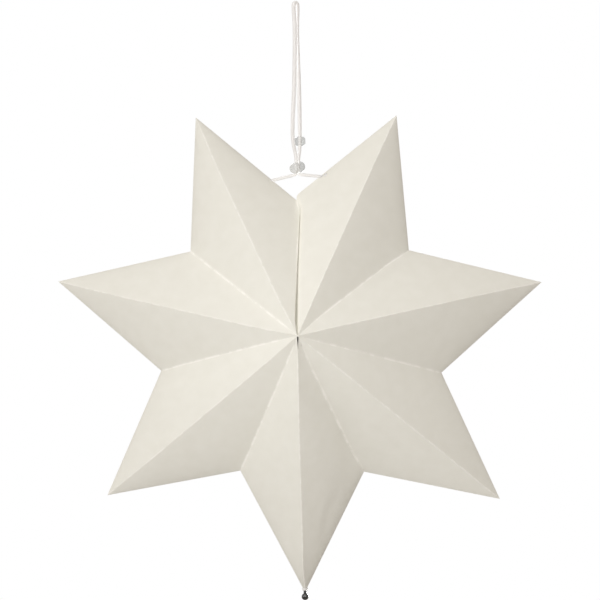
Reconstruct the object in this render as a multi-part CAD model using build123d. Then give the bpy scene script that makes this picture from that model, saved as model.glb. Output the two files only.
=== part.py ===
from build123d import *
import math
import os

os.makedirs("parts", exist_ok=True)

# Folded sheet: thickness, half the depth of the opened star, and the soft bend of its outline at a valley
paper = 0.4
half_depth = 70.0
edge_bend = 6.0
bend_strips = 6
# Seven points: the mean reach of tips and valleys from the axis, then how each one stands (degrees, mm)
tip_reach = 233.5
valley_reach = 134.0
tip_turns = [114.3, 66.0, 12.6, 320.6, 270.3, 218.0, 165.5]
tip_extras = [-0.8, -3.1, -1.3, 4.4, 1.5, -1.7, 1.4]
valley_turns = [90.5, 38.75, 346.1, 295.0, 244.6, 191.6, 140.2]
valley_extras = [-1.1, -1.8, 1.6, 2.8, 0.4, -0.4, -1.1]
# Closing seam in the top valley: its gap, how far the two ends of the sheet stand out of line there, the
# turned-in edge strips, and the slit left at the front apex
seam_gap = 1.6
seam_steps = [-1.5, 3.9]
flap_width = 13.0
flap_start = 7.0
slit_width = 1.0
slit_length = 9.0

# Cord: diameter, the sides it is drawn with, its clearance in a bore, and how its closed loop hangs
cord_d = 3.6
cord_sides = 10
cord_clearance = 0.3
loop_gap = 0.6
loop_turn = 35.0
loop_straight = 8.0
# The two strands: how high each stretch begins, as a share of the way from the stopper to the hook, and
# where the left strand bows out past the bead, where both lie apart, and where they lie over each other
bow_shares = [0.06, 0.10, 0.21, 0.46, 0.75, 0.86]
bow_left = (-4.3, -3.7)
bow_right = (2.5, 0.0)
apart = (2.2, 0.6)
crossed = (1.0, 1.75)
strand_bend = 20.0
fold_bend = 2.6
fold_drop = 3.4
free_rise = 9.5
# Where the ends go in, as a share of the outline from the seam valley to each tip, and the knots behind
hole_shares = [0.229, 0.23]
knot_d = 7.0
knot_length = 6.0
knot_straight = 2.4
knot_draw = 1.2
knot_inset = 7.0

# Stopper: two round lobes on a waist, lying towards the viewer, with a bore for both strands
stopper_d = 10.4
stopper_waist_d = 8.8
stopper_lobe_gap = 7.4
stopper_length = 14.6
stopper_turn = 33.0
stopper_tilt = 16.0
stopper_rise = 10.85
stopper_dimple_d = 5.0
stopper_dimple = 0.8
stopper_spread = 2.0
stopper_stagger = 3.1
stopper_shift = -0.4
# Bead on the right strand, and the height of the hook, both from the stopper
bead_d = 10.2
bead_height = 8.4
bead_chamfer = 2.0
bead_rise = 24.9
hook_rise = 154.9

# Tip weight: ball on a pin that hangs through the lowest tip, with a collar round the paper
tip_trim = 3.2
pin_d = 1.0
pin_clearance = 0.15
head_d = 3.2
head_thick = 0.7
head_level = 9.2
collar_d = 5.3
collar_height = 2.5
collar_lip = 0.6
collar_chamfer = 0.5
collar_recess_d = 4.4
seat_clearance = 0.1
neck_d = 2.7
neck_length = 2.7
ball_d = 6.5

# How far a cut runs past what it cuts, and where the seam and the lowest tip stand in the lists
overcut = 20.0
SEAM = 0
LOWEST = 4


def spot(turn, reach, depth=0.0):
    """A point of the star from its turn about the axis, its reach from it and its depth"""
    angle = math.radians(turn)
    return Vector(reach * math.cos(angle), depth, reach * math.sin(angle))


def tip_spot(i, share=1.0):
    return spot(tip_turns[i], (tip_reach + tip_extras[i]) * share)


def valley_nose(i, side):
    """The reach of a valley, where the two ends of the sheet differ at the seam"""
    step = seam_steps[side] if i == SEAM else 0.0
    return valley_reach + valley_extras[i] + step


def fold_section(turn, nose, bend, apex):
    """Where two points meet: front apex, nose bent in narrow strips, back apex"""
    middle = nose - bend
    lean = math.atan2(apex, middle) - math.asin(bend / math.hypot(middle, apex))
    corners = [spot(turn, 0, -apex)]
    for step in range(bend_strips + 1):
        swing = (lean - math.pi / 2) * (1 - 2 * step / bend_strips)
        corners.append(spot(turn, middle + bend * math.cos(swing), bend * math.sin(swing)))
    corners.append(spot(turn, 0, apex))
    return Face(Wire.make_polygon(corners))


def star_body(skin):
    """The star filled solid, drawn in by the skin all round: a pyramid on either side of every valley"""
    share = 1.0 - skin / (half_depth * panel_cosine)
    halves = []
    for i, turn in enumerate(valley_turns):
        for side, j in enumerate((i, (i + 1) % len(tip_turns))):
            nose = valley_nose(i, side) - skin
            section = fold_section(turn, nose, edge_bend - skin, half_depth * share)
            halves.append(Solid(loft([section, Vertex(*tip_spot(j, share))], ruled=True).wrapped))
    return halves[0].fuse(*halves[1:])


def slab(turn, thick, low, high, deep, aside=0.0):
    """A flat block standing on the axis at a turn, moved aside from its own middle plane"""
    block = Pos(aside, 0, (low + high) / 2) * Box(thick, deep, high - low)
    return Rot(0, 90 - turn, 0) * block


def rod(start, end, diameter):
    """A round rod between two points"""
    along = end - start
    return extrude(Plane(start, z_dir=along) * Circle(diameter / 2), along.length)


def corner_radii(points, fixed):
    """An easy bend at every corner of a route, and the stated radius where one is fixed"""
    radii = []
    for i in range(1, len(points) - 1):
        before = points[i] - points[i - 1]
        after = points[i + 1] - points[i]
        turn = math.radians(before.get_angle(after))
        easy = 0.45 * min(before.length, after.length) / math.tan(turn / 2)
        radii.append(fixed.get(i, easy))
    return radii


def stop_knot(middle, along):
    """A drawn-up knot: a fat barrel round the end of the cord, drawn in towards both its ends"""
    straight = knot_straight / 2
    drawn = knot_length / 2 - straight
    lean = math.degrees(math.atan2(knot_draw, drawn))
    knot = []
    for way in (along, -along):
        for start, rise, taper in ((0.0, straight, 0.0), (straight, drawn, lean)):
            ring = Plane(middle + way * start, z_dir=way) * RegularPolygon(knot_d / 2, cord_sides)
            knot.append(extrude(ring, amount=rise, taper=taper))
    return knot[0].fuse(*knot[1:])


# The slope of a panel, as the cosine between its face and the star's mid-plane
half_step = math.pi / len(tip_turns)
tip_across = tip_reach * math.sin(half_step)
tip_past = tip_reach * math.cos(half_step) - valley_reach
panel_span = valley_reach * tip_across / math.hypot(tip_across, tip_past)
panel_cosine = panel_span / math.hypot(panel_span, half_depth)

# Levels, all worked up from the two holes beside the seam
left_valley = spot(valley_turns[SEAM], valley_nose(SEAM, 0))
right_valley = spot(valley_turns[SEAM], valley_nose(SEAM, 1))
left_in = left_valley + (tip_spot(SEAM) - left_valley) * hole_shares[0]
right_in = right_valley + (tip_spot(SEAM + 1) - right_valley) * hole_shares[1]
stopper_height = (left_in.Z + right_in.Z) / 2 + stopper_rise
bead_level = stopper_height + bead_rise
hang_drop = stopper_height + hook_rise

# Cord route, from the knot in the upper left point over the hook to the knot in the upper right one
stopper_left = stopper_shift - stopper_spread / 2
stopper_right = stopper_shift + stopper_spread / 2
stagger = stopper_stagger / 2
loop_half = (loop_gap + cord_d) / 2
loop_x = loop_half * math.cos(math.radians(loop_turn))
loop_y = loop_half * math.sin(math.radians(loop_turn))
loop_top = hang_drop + cord_d / 2
fold_level = stopper_height - stopper_waist_d / 2 - fold_drop
free_level = stopper_height + free_rise
levels = [free_level + share * (loop_top - free_level) for share in bow_shares]
left_fold = Vector(stopper_left, -stagger, fold_level)
right_fold = Vector(stopper_right, stagger, fold_level)
left_along = (left_in - left_fold).normalized()
right_along = (right_in - right_fold).normalized()
left_knot = left_in + left_along * knot_inset
right_knot = right_in + right_along * knot_inset
strand_low = Vector(bow_right[0], bow_right[1], levels[0])
strand_high = Vector(apart[0], apart[1], levels[3])
route = [
    left_knot - left_along * (knot_length / 2),
    left_fold,
    Vector(stopper_left, -stagger, free_level),
    Vector(bow_left[0], bow_left[1], levels[1]),
    Vector(bow_left[0], bow_left[1], levels[2]),
    Vector(-apart[0], -apart[1], levels[3]),
    Vector(-crossed[0], -crossed[1], levels[4]),
    Vector(-crossed[0], -crossed[1], levels[5]),
    Vector(-loop_x, -loop_y, loop_top - loop_straight),
    Vector(-loop_x, -loop_y, loop_top),
    Vector(loop_x, loop_y, loop_top),
    Vector(loop_x, loop_y, loop_top - loop_straight),
    Vector(crossed[0], crossed[1], levels[5]),
    Vector(crossed[0], crossed[1], levels[4]),
    strand_high,
    strand_low,
    Vector(stopper_right, stagger, free_level),
    right_fold,
    right_knot - right_along * (knot_length / 2),
]
fixed_bends = {1: fold_bend, 2: strand_bend, 9: 0.99 * loop_half, 10: 0.99 * loop_half}
fixed_bends.update({15: strand_bend, 16: strand_bend, 17: fold_bend})
cord_path = FilletPolyline(*route, radius=corner_radii(route, fixed_bends))
cord_start = Plane(cord_path @ 0, z_dir=cord_path % 0)
cord_section = cord_start * RegularPolygon(cord_d / 2, cord_sides, major_radius=False)
hanging_cord = sweep(cord_section, path=cord_path)

# Paper star: a thin shell, opened along the seam, with the edges of the sheet turned in beside it
outer = star_body(0.0)
shell = outer - star_body(paper)
depth = 2 * half_depth + overcut
height = valley_reach + overcut
shell -= slab(valley_turns[SEAM], seam_gap, 0, height, depth)
shell -= Pos(0, -half_depth, 0) * slab(tip_turns[LOWEST], slit_width, 0, slit_length, half_depth)
for side, way in enumerate((-1, 1)):
    core_nose = valley_nose(SEAM, side) - flap_width
    core_face = fold_section(valley_turns[SEAM], core_nose, edge_bend, half_depth - flap_width)
    core = extrude(core_face, amount=overcut, both=True)
    aside = way * (seam_gap + paper) / 2
    strip = slab(valley_turns[SEAM], paper, flap_start, height, depth, aside)
    shell += (outer & strip) - core
for hole, along in ((left_in, left_along), (right_in, right_along)):
    shell -= rod(hole - along * knot_inset, hole + along * knot_inset, cord_d + 2 * cord_clearance)
# The lowest tip is cut off for the pin
lowest = tip_spot(LOWEST)
trim_level = lowest.Z + tip_trim
shell -= Pos(lowest.X, 0, trim_level - overcut / 2) * Box(overcut, overcut, overcut)
shell -= Pos(lowest.X, 0, trim_level) * Cylinder(pin_d / 2 + pin_clearance, overcut)

# Stopper and bead
lobe = Sphere(stopper_d / 2)
barrel = Cylinder(stopper_waist_d / 2, stopper_lobe_gap)
for end in (-1, 1):
    barrel += Pos(0, 0, end * stopper_lobe_gap / 2) * lobe
barrel &= Cylinder(stopper_d, stopper_length)
barrel -= Pos(0, 0, stopper_length / 2) * Cylinder(stopper_dimple_d / 2, 2 * stopper_dimple)
lying = Rot(0, 0, -stopper_turn) * Rot(90 + stopper_tilt, 0, 0)
stopper = Pos(stopper_shift, 0, stopper_height) * lying * barrel
for fold in (left_fold, right_fold):
    bore = Cylinder(cord_d / 2 + cord_clearance, 2 * stopper_length)
    stopper -= Pos(fold.X, fold.Y, stopper_height) * bore
bead = Cylinder(bead_d / 2, bead_height)
bead = chamfer(bead.edges().filter_by(GeomType.CIRCLE), bead_chamfer)
bead -= Cylinder(cord_d / 2 + cord_clearance, 2 * bead_height)
strand = strand_high - strand_low
bead_middle = strand_low + strand * ((bead_level - strand_low.Z) / strand.Z)
bead = Plane(bead_middle, z_dir=strand) * bead

# Tip weight: collar round the cut paper, and the ball, neck, pin and pin head in one
collar_top = trim_level + collar_lip
collar_bottom = collar_top - collar_height
collar = Pos(0, 0, -collar_height / 2) * Cylinder(collar_d / 2, collar_height)
collar = chamfer(collar.edges().group_by(Axis.Z)[0], collar_chamfer)
collar -= Cylinder(collar_recess_d / 2, 2 * (collar_lip + seat_clearance))
collar -= Cylinder(pin_d / 2 + pin_clearance, 3 * collar_height)
collar = Pos(lowest.X, 0, collar_top) * collar
ball_level = collar_bottom - neck_length - math.sqrt(ball_d**2 - neck_d**2) / 2
neck_run = collar_bottom - ball_level
pin_run = lowest.Z + head_level - ball_level
weight = Sphere(ball_d / 2)
weight += Pos(0, 0, neck_run / 2) * Cylinder(neck_d / 2, neck_run)
weight += Pos(0, 0, pin_run / 2) * Cylinder(pin_d / 2, pin_run)
weight += Pos(0, 0, pin_run) * Cylinder(head_d / 2, head_thick)
weight = Pos(lowest.X, 0, ball_level) * weight

nodes = {
    "paper_star": shell,
    "hanging_cord": hanging_cord,
    "left_knot": stop_knot(left_knot, left_along),
    "right_knot": stop_knot(right_knot, right_along),
    "cord_stopper": stopper,
    "strand_bead": bead,
    "tip_collar": collar,
    "tip_weight": weight,
}
print("cord length", round(cord_path.length, 1), "hook above the centre", round(hang_drop, 2))
print("strand direction", strand.normalized())
for name, shape in nodes.items():
    hung = Pos(0, 0, -hang_drop) * shape
    print(name, len(hung.solids()), round(hung.volume, 1), hung.is_valid)
    export_step(hung, "parts/" + name + ".step")
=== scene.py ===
import bmesh
import bpy
import math
import numpy as np
from mathutils import Matrix, Vector, noise


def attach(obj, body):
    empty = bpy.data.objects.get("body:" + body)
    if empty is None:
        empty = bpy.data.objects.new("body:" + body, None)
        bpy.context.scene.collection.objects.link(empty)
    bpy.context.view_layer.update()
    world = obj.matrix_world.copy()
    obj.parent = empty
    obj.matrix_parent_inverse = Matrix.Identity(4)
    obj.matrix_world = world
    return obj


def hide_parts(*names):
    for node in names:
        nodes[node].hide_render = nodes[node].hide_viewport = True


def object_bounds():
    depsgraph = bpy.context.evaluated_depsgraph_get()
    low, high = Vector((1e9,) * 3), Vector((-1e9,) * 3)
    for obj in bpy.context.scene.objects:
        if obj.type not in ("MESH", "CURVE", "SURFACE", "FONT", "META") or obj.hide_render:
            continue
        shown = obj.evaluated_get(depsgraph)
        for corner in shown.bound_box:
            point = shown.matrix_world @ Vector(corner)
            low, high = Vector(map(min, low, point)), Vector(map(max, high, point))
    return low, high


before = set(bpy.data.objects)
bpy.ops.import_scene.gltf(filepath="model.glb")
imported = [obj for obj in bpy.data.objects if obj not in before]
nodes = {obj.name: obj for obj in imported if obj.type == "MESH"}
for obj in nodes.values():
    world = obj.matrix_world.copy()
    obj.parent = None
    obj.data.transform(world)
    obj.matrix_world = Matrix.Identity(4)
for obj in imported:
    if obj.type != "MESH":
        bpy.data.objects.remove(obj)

cad_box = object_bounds()
MM = 0.001

# Star, in mm from its own centre, as in the part's source
paper = 0.4
half_depth = 70.0
tip_reach = 233.5
valley_reach = 134.0
tip_turns = [114.3, 66.0, 12.6, 320.6, 270.3, 218.0, 165.5]
tip_extras = [-0.8, -3.1, -1.3, 4.4, 1.5, -1.7, 1.4]
valley_turns = [90.5, 38.75, 346.1, 295.0, 244.6, 191.6, 140.2]
valley_extras = [-1.1, -1.8, 1.6, 2.8, 0.4, -0.4, -1.1]
SEAM = 0
LOWEST = 4
tip_trim = 3.2

# Soft bend along the outline: how wide it is on the way from a valley (0) to a tip (1), and how much
# of it the crease at the very edge takes up where the bend is no softer than that
bend_widths = [(0.0, 8.0), (0.3, 20.0), (0.7, 13.0), (0.95, 5.0), (1.0, 1.0)]
crease = 0.12
# How soft the bend is on either side of each valley, against that, in the order of the valleys, and
# the share of the way to the tip over which it becomes so
bend_softness = {
    "left": [1.3, 1.0, 1.1, 0.5, 1.0, 1.0, 1.0],
    "right": [1.2, 0.3, 0.5, 3.5, 1.9, 1.0, 1.2],
}
softness_share = 0.1
# How far the lowest point bulges, front and back, round the head of its pin, and the shares of the
# way to the tip where this starts, is full, begins to fade and ends
lowest_bulge = 7.0
bulge_shares = [0.0, 0.3, 0.93, 1.0]
# How far the front folds bow sideways, anticlockwise as seen from the front, and the shares of the
# depth between which a bow sets in and fades again
ridge_bows = [1.6, 0.65, 0.55, 0.55, -0.7, 0.5, 0.9]
valley_bows = [0.0, 1.9, 0.0, -1.75, 0.4, -0.7, 0.0]
bow_in = (0.0, 0.25)
bow_out = (0.8, 1.0)

# Seam: how far the two ends of the sheet stand out of line at the outline, the turned-in edge and the
# reach over which it grows from the centre, how round each side is folded, the gap, how deep the seam
# is shut, and how far it wanders to the right, by reach
seam_steps = {"left": -1.5, "right": 3.9}
flap_width = 13.0
flap_reach = 12.0
fold_round = {"left": 0.7, "right": 2.8}
seam_gaps = [(0, 0.9), (5, 1.9), (40, 1.4), (80, 1.1), (124, 1.0), (134, 0.1)]
seam_floor = 5.0
seam_wander = [
    (0, -0.3), (4, -1.4), (35, -0.7), (64, 0.4),
    (103, 2.3), (122, 3.1), (127, 1.8), (133, -0.4),
]
# Slit where the lowest point's front fold starts at the centre, wider than the part's
slit_width = 2.0
slit_length = 16.0

# Cord, stopper and bead, with the same values as in the part's source
cord_d = 3.6
cord_clearance = 0.3
loop_gap = 0.6
loop_turn = 35.0
loop_straight = 8.0
bow_shares = [0.06, 0.10, 0.21, 0.46, 0.75, 0.86]
bow_left = (-4.3, -3.7)
bow_right = (2.5, 0.0)
apart = (2.2, 0.6)
crossed = (1.0, 1.75)
fold_drop = 3.4
free_rise = 9.5
hole_shares = [0.229, 0.23]
knot_length = 6.0
knot_inset = 7.0
stopper_d = 10.4
stopper_waist_d = 8.8
stopper_lobe_gap = 7.4
stopper_length = 14.6
stopper_turn = 33.0
stopper_tilt = 16.0
stopper_rise = 10.85
stopper_dimple_d = 5.0
stopper_dimple = 0.8
stopper_spread = 2.0
stopper_stagger = 3.1
stopper_shift = -0.4
bead_d = 10.2
bead_height = 8.4
bead_rise = 24.9
hook_rise = 154.9

# Dressed cord: its length, its width by the distance from an end, how far its turns under the stopper
# are lifted, the straight runs beside them and in the stopper, and its left hole's place
cord_widths = [(0, 2.9), (28, 2.9), (38, 3.1), (62, 3.4), (90, 3.9)]
fold_lift = (1.0, 1.6)
fold_lead = 5.0
fold_rise = 4.0
bore_run = 5.0
left_hole_share = 0.242

# Braid of the cord: height of its ridges, how far a thread runs in one turn, threads each way, and how
# much of a ridge lies below the cord's width
braid_relief = 0.06
braid_pitch = 7.0
braid_threads = 4
braid_level = 0.6

# Silicone: rounded edges, blend of the stopper's lobes, margin for marking a bore, and how far in front
# of its middle the stopper turns milky and paler, painted light on its lit front lobe
bead_round = 2.6
rim_round = 0.6
lobe_blend = 0.2
bore_margin = 0.1
lit_milky_span = (0.5, 2.5)

# Dents in the front of the sheet: place (x, z), heading in degrees, spread along and across it, depth
dents = [
    (22.5, -169, 88, 8, 2.4, 0.8),
    (27, -155, 52, 6, 2.4, 0.8),
    (33, -145, 75, 6, 2.4, 0.6),
    (19, -163, 75, 13, 3, -0.4),
    (55, 124, 0, 9, 9, 0.4),
]

# Waves of the sheet: height, length in the sheet and length in depth
waves = [(0.30, 70, 200), (0.12, 22, 60)]
# Distance from the star's middle plane over which waves and dents set in
flat_edge = 10.0
# Pale fold lines, partly wear and partly painted highlight where the folds catch the light, which are
# put
# off round the centre: by how much, and between which reaches
fold_line_fade_by = 1.5
fold_line_fade_reach = (4.0, 16.0)

# Colours, darker then paler where there are two
paper_tones = ((0.838, 0.836, 0.773), (0.862, 0.861, 0.802))
# Pale fold lines: partly wear, partly painted highlight where the folds catch the light
wear_and_highlight_tone = (1.0, 0.99, 0.95)
# Painted highlight on the rounded fold beside the seam
seam_highlight_tone = (0.95, 0.93, 0.85)
cord_tones = ((0.955, 0.965, 0.975), (0.985, 0.99, 0.995))
silicone_tones = ((0.385, 0.395, 0.385), (0.415, 0.425, 0.41))
# Paler milky colour for the stopper's front lobe: painted light where it is lit
lit_milky_tone = (0.71, 0.72, 0.71)
plastic_tones = ((0.83, 0.83, 0.82), (0.88, 0.88, 0.87))
steel_tones = ((0.065, 0.064, 0.063), (0.09, 0.089, 0.088))
floor_tone = (0.86, 0.86, 0.86)
white = (1.0, 1.0, 1.0)

# Pale lines along the folds, partly wear and partly painted highlight where the folds catch the light:
# where a line begins to fade, then its width and strength by fold, what is left of it where it is
# broken, and the most that it covers
wear_and_highlight_core = 0.3
wear_and_highlight_lines = {"ridge_mm": (0.9, 0.7), "valley_mm": (1.5, 0.9)}
broken_left = 0.3
most_wear_and_highlight = 0.9
# Painted highlight, a pale strip on the rounded fold to the right of the seam: where it fades out, and
# its strength
seam_highlight_span = (1.8, 3.6)
seam_highlight_strength = 0.5

# Middle part of a noise pattern, which the materials spread over their own range
noise_span = (0.3, 0.7)
broken_span = (0.44, 0.56)

# How much the silicone covers: from its front to its back (metres), denser at the back for its
# thickness and as painted shade; where it is milky, painted paler on the lit front lobe; and in a bore
cover_depth = (-0.001, 0.003)
cover_span = (0.16, 0.6)
lit_milky_cover = 0.75
bore_cover = 0.1

# Mesh density: the sheet from an apex to the outline, from valley to tip and round the seam's fold,
# then the cord, the bars that cut holes, and turned pieces
section_steps = 28
rows_near = [0.0, 0.003, 0.012, 0.024, 0.0385, 0.055]
rows_far = 32
seam_fold_rows = 7
row_clearance = 0.002
sheet_weld = 0.002
sheet_sliver = 0.0005
cord_step = 0.4
cord_sides = 24
line_steps = 16
bar_sides = 24
turned_steps = 64
turned_weld = 0.001
stopper_rows = 49
arc_points = 9
paper_edge = math.radians(30)
moulded_edge = math.radians(40)


def spot(turn, reach, depth=0.0):
    angle = math.radians(turn)
    return np.array([reach * math.cos(angle), depth, reach * math.sin(angle)])


def tip_spot(i):
    return spot(tip_turns[i], tip_reach + tip_extras[i])


def valley_nose(i, side):
    """The reach of a valley, where the two ends of the sheet differ at the seam"""
    return valley_reach + valley_extras[i] + (seam_steps[side] if i == SEAM else 0.0)


def valley_spot(i, side="left"):
    return spot(valley_turns[i], valley_nose(i, side))


def smooth(x, low, high):
    """0 below low, 1 above high, with a soft step between"""
    t = np.clip((x - low) / (high - low), 0.0, 1.0)
    return t * t * (3.0 - 2.0 * t)


def by_reach(table, values):
    """Values read off a short table of (place, size)"""
    return np.interp(values, [row[0] for row in table], [row[1] for row in table])


def fold_section(turn, nose, bend, apex, softness=1.0):
    """Where two points meet: points from the front apex, round a soft nose, to the back apex"""
    inward = nose * np.linspace(1.0, 0.0, section_steps + 1)**2
    along = inward + crease * bend / softness
    rise = np.sqrt(along**2 + 2 * bend * along)
    depth = apex * (rise - rise[-1]) / (rise[0] - rise[-1])
    reach = np.concatenate([nose - inward, (nose - inward)[-2::-1]])
    depth = np.concatenate([-depth, depth[-2::-1]])
    angle = math.radians(turn)
    return np.stack([reach * math.cos(angle), depth, reach * math.sin(angle)], axis=1), reach


def panel_row(i, side, tip, q):
    """One row of a half-point: the section at valley i, drawn towards the tip by the share q"""
    nose = valley_nose(i, side)
    softness = 1.0 + (bend_softness[side][i] - 1.0) * min(q / softness_share, 1.0)
    bend = by_reach(bend_widths, q) * softness / (1.0 - q)
    section, reach = fold_section(valley_turns[i], nose, bend, half_depth, softness)
    return section * (1.0 - q) + tip * q, section, reach


def seam_rows(tip, side):
    """The sheet beside the seam: from the turned-in strip's inner edge, round its fold, to the panel"""
    turn = valley_turns[SEAM]
    away = spot(turn + 90, 1.0)
    far = abs(float(tip @ away))
    _, section, reach = panel_row(SEAM, side, tip, 0.0)
    core_nose = valley_nose(SEAM, side) - flap_width
    core, _ = fold_section(turn, core_nose, bend_widths[0][1], half_depth - flap_width)
    sign = 1.0 if side == "right" else -1.0
    q_edge = ((by_reach(seam_gaps, reach) / 2 + sign * by_reach(seam_wander, reach)) / far)[:, None]
    edge = section * (1.0 - q_edge) + tip * q_edge
    inward = (core - section) / flap_width
    inward = inward * smooth(reach, 0.0, flap_reach)[:, None]
    soft = fold_round[side]
    q_start = q_edge + soft / far
    start = section * (1.0 - q_start) + tip * q_start
    end = edge + inward * soft
    q_shut = (sign * by_reach(seam_wander, reach) / far)[:, None]
    shut = section * (1.0 - q_shut) + tip * q_shut
    rows = [shut + inward * flap_width, shut + inward * seam_floor]
    for t in np.linspace(0.0, 1.0, seam_fold_rows):
        rows.append(end * (1 - t)**2 + 2 * edge * t * (1 - t) + start * t**2)
    return rows, float(q_start.max())


def star_sheet():
    """The folded sheet as one grid of points per half-point, welded along the folds"""
    far_rows = list(np.linspace(rows_near[-1], 1.0, rows_far + 1)[1:])
    shares = rows_near + far_rows
    sheet = bmesh.new()
    for i in range(len(valley_turns)):
        for side, j in (("left", i), ("right", (i + 1) % len(tip_turns))):
            tip = tip_spot(j)
            rows = []
            first = -1.0
            if i == SEAM:
                rows, first = seam_rows(tip, side)
            for q in shares:
                if q <= first + row_clearance:
                    continue
                if q == 1.0:
                    row = np.repeat(tip[None, :], 2 * section_steps + 1, axis=0)
                else:
                    row, _, _ = panel_row(i, side, tip, q)
                if j == LOWEST and q < 1.0:
                    grown = lowest_bulge * smooth(q, *bulge_shares[:2])
                    bulge = grown * (1.0 - smooth(q, *bulge_shares[2:]))
                    row[:, 1] *= 1.0 + bulge / (half_depth * (1.0 - q))
                if j == LOWEST and 0.0 < q < slit_length / tip_reach:
                    open_half = slit_width / 2 * (1.0 - q * tip_reach / slit_length)
                    row[0, 0] += -open_half if side == "left" else open_half
                rows.append(row)
            verts = [[sheet.verts.new(Vector(p)) for p in row] for row in rows]
            for near, further in zip(verts[:-1], verts[1:]):
                for k in range(len(near) - 1):
                    quad = [near[k], near[k + 1], further[k + 1], further[k]]
                    sheet.faces.new(quad if side == "left" else quad[::-1])
    bmesh.ops.remove_doubles(sheet, verts=sheet.verts, dist=sheet_weld)
    bmesh.ops.dissolve_degenerate(sheet, edges=sheet.edges, dist=sheet_sliver)
    everything = sheet.verts[:] + sheet.edges[:] + sheet.faces[:]
    trim = Vector(tip_spot(LOWEST)) + Vector((0.0, 0.0, tip_trim))
    bmesh.ops.bisect_plane(
        sheet, geom=everything, plane_co=trim, plane_no=(0, 0, -1), clear_outer=True
    )
    return sheet


def add_object(name, mesh):
    obj = bpy.data.objects.new(name, mesh)
    bpy.context.scene.collection.objects.link(obj)
    return obj


def evaluated_mesh(obj):
    bpy.context.view_layer.update()
    graph = bpy.context.evaluated_depsgraph_get()
    return bpy.data.meshes.new_from_object(obj.evaluated_get(graph), depsgraph=graph)


def cutter(name, middle, along, radius, length):
    """A round bar to cut a hole with"""
    bar = bmesh.new()
    bmesh.ops.create_cone(
        bar, cap_ends=True, segments=bar_sides, radius1=radius, radius2=radius, depth=length
    )
    turn = Vector((0, 0, 1)).rotation_difference(Vector(along)).to_matrix().to_4x4()
    bar.transform(Matrix.Translation(Vector(middle)) @ turn)
    mesh = bpy.data.meshes.new(name)
    bar.to_mesh(mesh)
    bar.free()
    return add_object(name, mesh)


def cut_mesh(raw, bars):
    """The mesh of an object with its modifiers applied and bars cut out; the objects are removed"""
    for bar in bars:
        cut = raw.modifiers.new(bar.name, "BOOLEAN")
        cut.operation = "DIFFERENCE"
        cut.solver = "MANIFOLD"
        cut.object = bar
    mesh = evaluated_mesh(raw)
    for extra in [raw] + list(bars):
        bpy.data.objects.remove(extra)
    return mesh


def mark_points(mesh, name, values):
    """One number at each vertex, for a material to read"""
    layer = mesh.attributes.new(name, "FLOAT", "POINT")
    layer.data.foreach_set("value", values.astype(np.float32))


def shade_smooth(mesh, edge):
    """Smooth shading, but for edges that turn more than an angle"""
    mesh.polygons.foreach_set("use_smooth", [True] * len(mesh.polygons))
    mesh.set_sharp_from_angle(angle=edge)
    mesh.update()


# Levels of the cord, all from the part's two holes beside the seam
left_valley = valley_spot(SEAM, "left")
right_valley = valley_spot(SEAM, "right")
part_left_in = left_valley + (tip_spot(SEAM) - left_valley) * hole_shares[0]
right_in = right_valley + (tip_spot(SEAM + 1) - right_valley) * hole_shares[1]
stopper_height = (part_left_in[2] + right_in[2]) / 2 + stopper_rise
hang_drop = stopper_height + hook_rise
stopper_left = stopper_shift - stopper_spread / 2
stopper_right = stopper_shift + stopper_spread / 2
stagger = stopper_stagger / 2
loop_half = (loop_gap + cord_d) / 2
loop_x = loop_half * math.cos(math.radians(loop_turn))
loop_y = loop_half * math.sin(math.radians(loop_turn))
loop_top = hang_drop + cord_d / 2
fold_level = stopper_height - stopper_waist_d / 2 - fold_drop
free_level = stopper_height + free_rise
levels = [free_level + share * (loop_top - free_level) for share in bow_shares]
# The soft cord turns tighter under the stopper than the part's tube, and its left hole is a little
# further out
left_in = left_valley + (tip_spot(SEAM) - left_valley) * left_hole_share
left_fold = np.array([stopper_left, -stagger, fold_level + fold_lift[0]])
right_fold = np.array([stopper_right, stagger, fold_level + fold_lift[1]])
left_along = (left_in - left_fold) / np.linalg.norm(left_in - left_fold)
right_along = (right_in - right_fold) / np.linalg.norm(right_in - right_fold)


def row_frame(point):
    """From mm about the star's centre to metres from the hook"""
    return [point[0] * MM, point[1] * MM, (point[2] - hang_drop) * MM]


def line_distance(points, lines):
    """Least distance from each point to any half-line, each from a start through a second point"""
    best = np.full(len(points), 1e9)
    for a, b in lines:
        along = (b - a) / np.linalg.norm(b - a)
        off = points - a
        off = off - np.outer(np.maximum(off @ along, 0.0), along)
        best = np.minimum(best, np.linalg.norm(off, axis=1))
    return best


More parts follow.
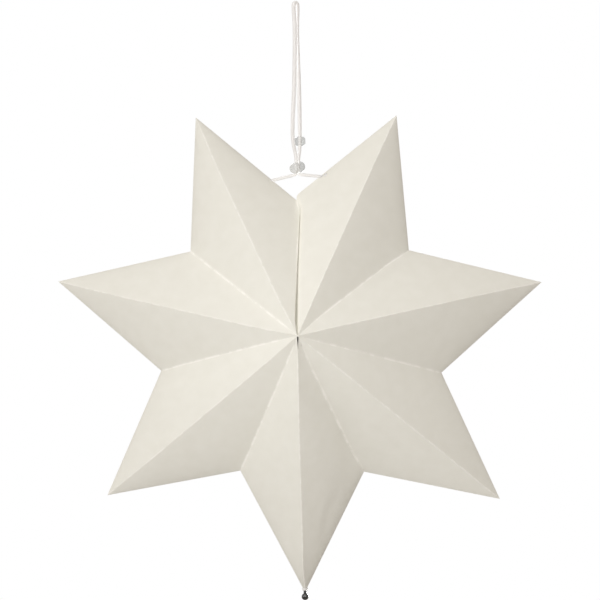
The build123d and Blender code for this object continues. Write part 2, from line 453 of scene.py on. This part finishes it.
def paper_star():
    """Folded sheet with its thickness, cord holes and cut tip, then its dents and waves"""
    sheet = star_sheet()
    mesh = bpy.data.meshes.new("paper_star_sheet")
    sheet.to_mesh(mesh)
    sheet.free()
    raw = add_object("paper_star_raw", mesh)
    thick = raw.modifiers.new("thickness", "SOLIDIFY")
    thick.thickness = paper
    thick.offset = -1.0
    hole_radius = cord_widths[0][1] / 2 + cord_clearance
    bars = [
        cutter(name, hole, along, hole_radius, 2 * knot_inset)
        for name, hole, along in (("left", left_in, left_along), ("right", right_in, right_along))
    ]
    mesh = cut_mesh(raw, bars)
    points = np.zeros(len(mesh.vertices) * 3)
    mesh.vertices.foreach_get("co", points)
    points = points.reshape(-1, 3)
    flat = points * np.array([1.0, 0.0, 1.0])
    # The pale fold lines, partly painted highlight, fade round the centre
    fold_line_fade = fold_line_fade_by * (1.0 - smooth(np.linalg.norm(flat, axis=1), *fold_line_fade_reach))
    for name, turns in (("ridge_mm", tip_turns), ("valley_mm", valley_turns)):
        folds = [(np.zeros(3), spot(turn, 1.0)) for turn in turns]
        mark_points(mesh, name, fold_line_fade + line_distance(flat, folds))
    # Distance from the seam, for a painted highlight on the fold to its right
    up = spot(valley_turns[SEAM], 1.0)
    beside = points @ spot(valley_turns[SEAM] - 90, 1.0) - by_reach(seam_wander, points @ up)
    in_front = (points[:, 1] < 0) & (points @ up > 0) & (beside > 0)
    mark_points(mesh, "seam_highlight_mm", np.where(in_front, beside, half_depth))
    outline = np.clip(np.abs(points[:, 1]) / flat_edge, 0.0, 1.0)
    facing = np.sign(points[:, 1])
    turns = np.arctan2(points[:, 2], points[:, 0])
    fold_turns = tip_turns + valley_turns
    bows = np.interp(np.degrees(turns), fold_turns, ridge_bows + valley_bows, period=360)
    forward = -points[:, 1] / half_depth
    bows = bows * smooth(forward, *bow_in) * (1.0 - smooth(forward, *bow_out))
    points[:, 0] -= bows * np.sin(turns)
    points[:, 2] += bows * np.cos(turns)
    for k, (x, y, z) in enumerate(points):
        wave = 0.0
        for height, length, depth in waves:
            wave += height * noise.noise(Vector((x / length, y / depth, z / length)))
        points[k, 1] += facing[k] * outline[k] * wave
    for dent_x, dent_z, turn, long, wide, deep in dents:
        heading = math.radians(turn)
        off_x = points[:, 0] - dent_x
        off_z = points[:, 2] - dent_z
        along = off_x * math.cos(heading) + off_z * math.sin(heading)
        across = off_z * math.cos(heading) - off_x * math.sin(heading)
        near = np.exp(-(along / long)**2 / 2 - (across / wide)**2 / 2)
        points[:, 1] += np.where(facing < 0, deep * near * outline, 0.0)
    placed = (points - np.array([0.0, 0.0, hang_drop])) * MM
    mesh.vertices.foreach_set("co", placed.ravel())
    shade_smooth(mesh, paper_edge)
    return add_object("folded_paper_star", mesh)


def nurbs_points(route):
    """Points along the cord's NURBS line, in metres"""
    curve = bpy.data.curves.new("cord_line", "CURVE")
    curve.dimensions = "3D"
    curve.resolution_u = line_steps
    spline = curve.splines.new("NURBS")
    spline.points.add(len(route) - 1)
    for point, place in zip(spline.points, route):
        point.co = (*place, 1.0)
    spline.order_u = 3
    spline.use_endpoint_u = True
    line = add_object("cord_line", curve)
    mesh = evaluated_mesh(line)
    points = [v.co.copy() for v in mesh.vertices]
    bpy.data.objects.remove(line)
    return points


def evenly(points, step):
    """The same line with points an even step apart"""
    points = np.array(points)
    run = np.concatenate([[0.0], np.cumsum(np.linalg.norm(np.diff(points, axis=0), axis=1))])
    marks = np.linspace(0.0, run[-1], int(run[-1] / step))
    return np.stack([np.interp(marks, run, points[:, k]) for k in range(3)], axis=1), marks


def braided_tube(name, points, marks, around):
    """A tube with a braid's crossing ridges, round a line of points, and thinner towards its ends"""
    from_end = np.minimum(marks, marks[-1] - marks) / MM
    widths = by_reach(cord_widths, from_end) / 2 * MM
    relief = braid_relief * MM
    pitch = braid_pitch * MM
    ahead = np.gradient(points, axis=0)
    ahead /= np.linalg.norm(ahead, axis=1)[:, None]
    side = np.array([0.0, 1.0, 0.0])
    angles = np.linspace(0.0, 2 * math.pi, around, endpoint=False)
    tube = bmesh.new()
    rings = []
    for place, forward, mark, radius in zip(points, ahead, marks, widths):
        side = side - forward * (side @ forward)
        side /= np.linalg.norm(side)
        other = np.cross(forward, side)
        turn = 2 * math.pi * mark / pitch
        threads = braid_threads * angles
        ridge = np.maximum(np.cos(threads + turn), np.cos(threads - turn))
        size = radius + relief * (ridge - braid_level)
        around_line = np.cos(angles)[:, None] * side + np.sin(angles)[:, None] * other
        ring = place + size[:, None] * around_line
        rings.append([tube.verts.new(Vector(p)) for p in ring])
    for one, two in zip(rings[:-1], rings[1:]):
        for k in range(around):
            tube.faces.new([one[k], one[(k + 1) % around], two[(k + 1) % around], two[k]])
    tube.faces.new(rings[0][::-1])
    tube.faces.new(rings[-1])
    mesh = bpy.data.meshes.new(name)
    tube.to_mesh(mesh)
    tube.free()
    mesh.polygons.foreach_set("use_smooth", [True] * len(mesh.polygons))
    return add_object(name, mesh)


def turned(name, profile, middle, axis):
    """A piece turned about an axis from a profile of (radius, height) points, in mm"""
    form = bmesh.new()
    verts = [form.verts.new((radius, 0.0, height)) for radius, height in profile]
    edges = [form.edges.new(pair) for pair in zip(verts[:-1], verts[1:])]
    bmesh.ops.spin(
        form, geom=verts + edges, cent=(0, 0, 0), axis=(0, 0, 1),
        angle=2 * math.pi, steps=turned_steps,
    )
    bmesh.ops.remove_doubles(form, verts=form.verts, dist=turned_weld)
    bmesh.ops.recalc_face_normals(form, faces=form.faces)
    turn = Vector((0, 0, 1)).rotation_difference(Vector(axis)).to_matrix().to_4x4()
    form.transform(Matrix.Translation(Vector(middle)) @ turn)
    mesh = bpy.data.meshes.new(name)
    form.to_mesh(mesh)
    form.free()
    return add_object(name, mesh)


def arc(radius, height, size, start, stop):
    """Points of a rounded corner in a profile, from one heading to another in degrees"""
    headings = np.radians(np.linspace(start, stop, arc_points))
    return [(radius + size * math.cos(h), height + size * math.sin(h)) for h in headings]


def finished(raw, name, bore_axes, bars=(), lit_milky_from=None):
    """A piece with its bores cut and marked, smooth but for its edges, moved into the row frame"""
    mesh = cut_mesh(raw, bars)
    points = np.array([v.co for v in mesh.vertices])
    bore_reach = cord_d / 2 + cord_clearance + bore_margin
    mark_points(mesh, "bore", line_distance(points, bore_axes) < bore_reach)
    # Milky and paler towards the front end: painted light on the lit front lobe
    lit_milky = np.zeros(len(points))
    if lit_milky_from:
        middle, axis = lit_milky_from
        lit_milky = smooth((points - np.array(middle)) @ np.array(axis), *lit_milky_span)
    mark_points(mesh, "lit_milky", lit_milky)
    mesh.transform(Matrix.Scale(MM, 4) @ Matrix.Translation((0.0, 0.0, -hang_drop)))
    shade_smooth(mesh, moulded_edge)
    return add_object(name, mesh)


def soft_stopper():
    """Two round lobes run together, flat at the ends, with a front dimple and a bore for each strand"""
    half = stopper_length / 2
    lobe_at = stopper_lobe_gap / 2
    heights = np.linspace(-half + rim_round, half - rim_round, stopper_rows)
    lobes = np.sqrt((stopper_d / 2)**2 - (np.abs(heights) - lobe_at)**2)
    waist = np.where(np.abs(heights) < lobe_at, stopper_waist_d / 2, 0.0)
    radii = lobe_blend * np.logaddexp(lobes / lobe_blend, waist / lobe_blend)
    rim = float(radii[0]) - rim_round
    dimple = stopper_dimple_d / 2
    profile = [(0.0, -half)] + arc(rim, -half + rim_round, rim_round, -90, -10)
    profile += list(zip(radii, heights)) + arc(rim, half - rim_round, rim_round, 10, 90)
    sunk = half - stopper_dimple
    profile += [(dimple, half), (dimple - stopper_dimple / 2, sunk), (0.0, sunk)]
    swing = math.radians(stopper_turn)
    dip = math.radians(stopper_tilt)
    axis = (-math.sin(swing) * math.cos(dip), -math.cos(swing) * math.cos(dip), -math.sin(dip))
    centre = (stopper_shift, 0.0, stopper_height)
    raw = turned("stopper_raw", profile, centre, axis)
    bars = []
    bore_axes = []
    for x, y in ((stopper_left, -stagger), (stopper_right, stagger)):
        middle = np.array([x, y, stopper_height])
        bore = cord_d / 2 + cord_clearance
        bars.append(cutter("bore", middle, (0, 0, 1), bore, 2 * stopper_length))
        bore_axes.append((middle - np.array([0.0, 0.0, stopper_length]), middle))
    return finished(raw, "moulded_stopper", bore_axes, bars, (centre, axis))


def soft_bead():
    """A bead with rounded edges on the right strand"""
    low = np.array([*bow_right, levels[0]])
    high = np.array([*apart, levels[3]])
    middle = low + (high - low) * ((stopper_height + bead_rise - low[2]) / (high[2] - low[2]))
    bore = cord_d / 2 + cord_clearance
    half = bead_height / 2
    profile = arc(bead_d / 2 - bead_round, half - bead_round, bead_round, 0, 90)
    profile += arc(bore + rim_round, half - rim_round, rim_round, 90, 180)
    profile += arc(bore + rim_round, -half + rim_round, rim_round, 180, 270)
    profile += arc(bead_d / 2 - bead_round, -half + bead_round, bead_round, 270, 360)
    raw = turned("bead_raw", profile + profile[:1], middle, high - low)
    return finished(raw, "moulded_bead", [(low, high)])


def shader(name):
    material = bpy.data.materials.new(name)
    material.use_nodes = True
    tree = material.node_tree
    return material, tree, tree.nodes["Principled BSDF"]


def noise_node(tree, coordinates, scale, detail):
    node = tree.nodes.new("ShaderNodeTexNoise")
    node.inputs["Scale"].default_value = scale
    node.inputs["Detail"].default_value = detail
    tree.links.new(coordinates, node.inputs["Vector"])
    return node.outputs["Fac"]


def map_range(tree, value, span, out_span):
    node = tree.nodes.new("ShaderNodeMapRange")
    node.inputs["From Min"].default_value, node.inputs["From Max"].default_value = span
    node.inputs["To Min"].default_value, node.inputs["To Max"].default_value = out_span
    tree.links.new(value, node.inputs["Value"])
    return node.outputs["Result"]


def combine(tree, operation, one, two):
    node = tree.nodes.new("ShaderNodeMath")
    node.operation = operation
    tree.links.new(one, node.inputs[0])
    if isinstance(two, (int, float)):
        node.inputs[1].default_value = two
    else:
        tree.links.new(two, node.inputs[1])
    return node.outputs[0]


def blend_colour(tree, factor, one, two):
    node = tree.nodes.new("ShaderNodeMix")
    node.data_type = "RGBA"
    for socket, colour in (("A", one), ("B", two)):
        target = [s for s in node.inputs if s.name == socket and s.type == "RGBA"][0]
        if isinstance(colour, tuple):
            target.default_value = (*colour, 1.0)
        else:
            tree.links.new(colour, target)
    tree.links.new(factor, node.inputs["Factor"])
    return [s for s in node.outputs if s.type == "RGBA"][0]


def bump(tree, height, principled, distance, strength):
    node = tree.nodes.new("ShaderNodeBump")
    node.inputs["Distance"].default_value = distance
    node.inputs["Strength"].default_value = strength
    tree.links.new(height, node.inputs["Height"])
    tree.links.new(node.outputs["Normal"], principled.inputs["Normal"])


def object_coordinates(tree):
    return tree.nodes.new("ShaderNodeTexCoord").outputs["Object"]


def ivory_paper():
    """Heavy ivory paper: mottled fibres, pale broken fold lines of wear and painted highlight, and a
    painted highlight beside the seam
    """
    material, tree, principled = shader("ivory_paper")
    where = object_coordinates(tree)
    mottle = noise_node(tree, where, scale=90.0, detail=6.0)
    fibre = noise_node(tree, where, scale=1400.0, detail=3.0)
    patches = map_range(tree, mottle, noise_span, (0.0, 1.0))
    paper_colour = blend_colour(tree, patches, *paper_tones)
    # Pale broken lines along the folds: partly wear, partly painted highlight where the folds catch the
    # light
    wear_and_highlight = None
    gaps = noise_node(tree, where, scale=130.0, detail=4.0)
    broken = map_range(tree, gaps, broken_span, (broken_left, 1.0))
    for attribute, (width, strength) in wear_and_highlight_lines.items():
        source = tree.nodes.new("ShaderNodeAttribute")
        source.attribute_name = attribute
        line = map_range(tree, source.outputs["Fac"], (wear_and_highlight_core, width), (strength, 0.0))
        wear_and_highlight = line if wear_and_highlight is None else combine(tree, "MAXIMUM", wear_and_highlight, line)
    wear_and_highlight = combine(tree, "MULTIPLY", wear_and_highlight, broken)
    wear_and_highlight = combine(tree, "MULTIPLY", wear_and_highlight, most_wear_and_highlight)
    colour = blend_colour(tree, wear_and_highlight, paper_colour, wear_and_highlight_tone)
    # Painted highlight: a pale strip on the rounded fold to the right of the seam
    beside = tree.nodes.new("ShaderNodeAttribute")
    beside.attribute_name = "seam_highlight_mm"
    strip = map_range(tree, beside.outputs["Fac"], seam_highlight_span, (seam_highlight_strength, 0.0))
    colour = blend_colour(tree, strip, colour, seam_highlight_tone)
    tree.links.new(colour, principled.inputs["Base Color"])
    principled.inputs["Roughness"].default_value = 0.82
    principled.inputs["Specular IOR Level"].default_value = 0.25
    bump(tree, fibre, principled, distance=0.00006, strength=0.35)
    return material


def white_cord():
    """White braided cord with fine threads, which light passes through"""
    material, tree, principled = shader("white_cord")
    where = object_coordinates(tree)
    threads = noise_node(tree, where, scale=2600.0, detail=3.0)
    colour = blend_colour(tree, threads, *cord_tones)
    tree.links.new(colour, principled.inputs["Base Color"])
    principled.inputs["Roughness"].default_value = 0.75
    principled.inputs["Subsurface Weight"].default_value = 1.0
    principled.inputs["Subsurface Radius"].default_value = (1.0, 1.0, 1.0)
    principled.inputs["Subsurface Scale"].default_value = 0.005
    bump(tree, threads, principled, distance=0.00002, strength=0.1)
    return material


def clear_silicone():
    """Milky see-through silicone with a faint cloudiness, denser towards the back for thickness and as
    painted shade, and painted paler on the lit front lobe
    """
    material, tree, principled = shader("clear_silicone")
    where = object_coordinates(tree)
    cloud = noise_node(tree, where, scale=500.0, detail=3.0)
    colour = blend_colour(tree, cloud, *silicone_tones)
    across = tree.nodes.new("ShaderNodeSeparateXYZ")
    tree.links.new(where, across.inputs["Vector"])
    # Painted light: the stopper's front lobe paler and more opaque where it is lit
    lobe = tree.nodes.new("ShaderNodeAttribute")
    lobe.attribute_name = "lit_milky"
    lit_milky = lobe.outputs["Fac"]
    colour = blend_colour(tree, lit_milky, colour, lit_milky_tone)
    tree.links.new(colour, principled.inputs["Base Color"])
    roughness = map_range(tree, cloud, noise_span, (0.25, 0.35))
    tree.links.new(roughness, principled.inputs["Roughness"])
    # Cover grows towards the back: partly thickness, partly painted shade
    cover_and_painted_light = map_range(tree, across.outputs["Y"], cover_depth, cover_span)
    cover_and_painted_light = combine(tree, "MAXIMUM", cover_and_painted_light, combine(tree, "MULTIPLY", lit_milky, lit_milky_cover))
    walls = tree.nodes.new("ShaderNodeAttribute")
    walls.attribute_name = "bore"
    clear = map_range(tree, walls.outputs["Fac"], (0.0, 1.0), (1.0, bore_cover))
    tree.links.new(combine(tree, "MULTIPLY", cover_and_painted_light, clear), principled.inputs["Alpha"])
    return material


def white_plastic():
    """Glossy white plastic with a faint unevenness"""
    material, tree, principled = shader("white_plastic")
    where = object_coordinates(tree)
    uneven = noise_node(tree, where, scale=900.0, detail=2.0)
    colour = blend_colour(tree, uneven, *plastic_tones)
    tree.links.new(colour, principled.inputs["Base Color"])
    roughness = map_range(tree, uneven, noise_span, (0.2, 0.3))
    tree.links.new(roughness, principled.inputs["Roughness"])
    return material


def polished_steel():
    """Dark polished steel with fine wear"""
    material, tree, principled = shader("polished_steel")
    where = object_coordinates(tree)
    wear = noise_node(tree, where, scale=1500.0, detail=4.0)
    colour = blend_colour(tree, wear, *steel_tones)
    tree.links.new(colour, principled.inputs["Base Color"])
    roughness = map_range(tree, wear, noise_span, (0.05, 0.10))
    tree.links.new(roughness, principled.inputs["Roughness"])
    principled.inputs["Metallic"].default_value = 1.0
    return material


def paint(obj, material):
    obj.data.materials.clear()
    obj.data.materials.append(material)


paper_look = ivory_paper()
cord_look = white_cord()
silicone_look = clear_silicone()
plastic_look = white_plastic()
steel_look = polished_steel()

# Star
star = paper_star()
paint(star, paper_look)
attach(star, "star")
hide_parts("paper_star")

# Cord: the part's route, with points added at the stopper and bead to lead each strand into its bore
left_knot = left_in + left_along * knot_inset
right_knot = right_in + right_along * knot_inset
route = [
    left_knot - left_along * (knot_length / 2),
    left_in,
    left_fold + left_along * fold_lead,
    left_fold,
    left_fold + np.array([0.0, 0.0, fold_rise]),
    (stopper_left, -stagger, free_level - bore_run),
    (stopper_left, -stagger, free_level),
    (*bow_left, levels[1]),
    (*bow_left, levels[2]),
    (-apart[0], -apart[1], levels[3]),
    (-crossed[0], -crossed[1], levels[4]),
    (-crossed[0], -crossed[1], levels[5]),
    (-loop_x, -loop_y, loop_top - loop_straight),
    (-loop_x, -loop_y, loop_top),
    (loop_x, loop_y, loop_top),
    (loop_x, loop_y, loop_top - loop_straight),
    (*crossed, levels[5]),
    (*crossed, levels[4]),
    (*apart, levels[3]),
    (*bow_right, levels[0]),
    (stopper_right, stagger, free_level),
    (stopper_right, stagger, free_level - bore_run),
    right_fold + np.array([0.0, 0.0, fold_rise]),
    right_fold,
    right_fold + right_along * fold_lead,
    right_in,
    right_knot - right_along * (knot_length / 2),
]
line, marks = evenly(nurbs_points([row_frame(p) for p in route]), cord_step * MM)
cord = braided_tube("braided_hanging_cord", line, marks, cord_sides)
paint(cord, cord_look)
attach(cord, "star")
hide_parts("hanging_cord")
cord.visible_shadow = False

# Stopper and bead
stopper = soft_stopper()
bead = soft_bead()
for piece, body, node in ((stopper, "stopper", "cord_stopper"), (bead, "bead", "strand_bead")):
    paint(piece, silicone_look)
    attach(piece, body)
    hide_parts(node)
    piece.visible_shadow = False

# Pieces that keep the part's own shape
looks = {
    "left_knot": (cord_look, "white_cord"),
    "right_knot": (cord_look, "white_cord"),
    "tip_collar": (plastic_look, "white_plastic"),
    "tip_weight": (steel_look, "polished_steel"),
}
for name, (look, slot_name) in looks.items():
    paint(nodes[name], look)

# Light: white for what the camera, mirrors and see-through pieces see, a dim room, and four wide soft
# white lamps (direction, distance, size, strength on a facing sheet)
room = (0.252, 0.210, 0.171)
lamps = {
    "front_lamp": ((0.0, -1.0, 0.0), 0.75, 0.4, 0.36),
    "left_lamp": ((-0.85, -0.5, 0.15), 3.5, 1.2, 0.181),
    "top_lamp": ((-0.1, -0.55, 0.85), 2.2, 1.2, 0.336),
    "back_lamp": ((0.2, 1.0, -0.09), 3.0, 0.5, 0.36),
}
centre = Vector(row_frame((0, 0, 0)))
world = bpy.data.worlds.new("studio")
bpy.context.scene.world = world
world.use_nodes = True
tree = world.node_tree
background = tree.nodes["Background"]
background.inputs["Strength"].default_value = 1.0
rays = tree.nodes.new("ShaderNodeLightPath")
glossy = rays.outputs["Is Glossy Ray"]
mirrored = combine(tree, "MAXIMUM", glossy, rays.outputs["Is Transmission Ray"])
seen = combine(tree, "MAXIMUM", rays.outputs["Is Camera Ray"], mirrored)
surround = blend_colour(tree, seen, room, white)
tree.links.new(surround, background.inputs["Color"])
for name, (direction, away, size, strength) in lamps.items():
    lamp = bpy.data.lights.new(name, "AREA")
    lamp.shape = "SQUARE"
    lamp.size = size
    lamp.energy = strength * math.pi**2 * away**2
    stand = bpy.data.objects.new(name, lamp)
    bpy.context.scene.collection.objects.link(stand)
    toward = Vector(direction).normalized()
    stand.location = centre + toward * away
    stand.rotation_euler = toward.to_track_quat("Z", "Y").to_euler()

# Floor, well below the star
floor_gap = 0.35
floor_half = 4.0
floor_mesh = bpy.data.meshes.new("floor")
floor_z = cad_box[0][2] - floor_gap
corners = [(-1, -1), (1, -1), (1, 1), (-1, 1)]
floor_points = [(x * floor_half, y * floor_half, floor_z) for x, y in corners]
floor_mesh.from_pydata(floor_points, [], [(0, 1, 2, 3)])
floor = add_object("floor", floor_mesh)
floor_look, _, floor_bsdf = shader("pale_floor")
floor_bsdf.inputs["Base Color"].default_value = (*floor_tone, 1.0)
floor_bsdf.inputs["Roughness"].default_value = 0.9
paint(floor, floor_look)

# Camera: a little below the star's centre, looking slightly up at it, with the picture shifted so that
# the centre falls at its place in the photo (in pixels, as is the focal length)
camera_away = 1.9
camera_yaw = math.radians(-1.806)
camera_pitch = math.radians(3.059)
camera_roll = math.radians(-0.8)
picture = 600
focal_px = 2026.7
sensor = 36.0
centre_px = (300.2, 340.0)
ahead = Vector((
    math.sin(camera_yaw) * math.cos(camera_pitch),
    math.cos(camera_yaw) * math.cos(camera_pitch),
    math.sin(camera_pitch),
))
right = Vector((math.cos(camera_yaw), -math.sin(camera_yaw), 0.0))
up = right.cross(ahead)
turned_right = right * math.cos(camera_roll) + up * math.sin(camera_roll)
turned_up = up * math.cos(camera_roll) - right * math.sin(camera_roll)
lens = bpy.data.cameras.new("camera")
lens.sensor_width = sensor
lens.lens = focal_px * sensor / picture
lens.shift_x = (picture / 2 - centre_px[0]) / picture
lens.shift_y = (centre_px[1] - picture / 2) / picture
lens.dof.use_dof = False
camera = bpy.data.objects.new("camera", lens)
bpy.context.scene.collection.objects.link(camera)
facing = Matrix((turned_right, turned_up, -ahead)).transposed()
camera.matrix_world = Matrix.Translation(centre - ahead * camera_away) @ facing.to_4x4()
bpy.context.scene.camera = camera
bpy.context.scene.view_settings.view_transform = "Standard"
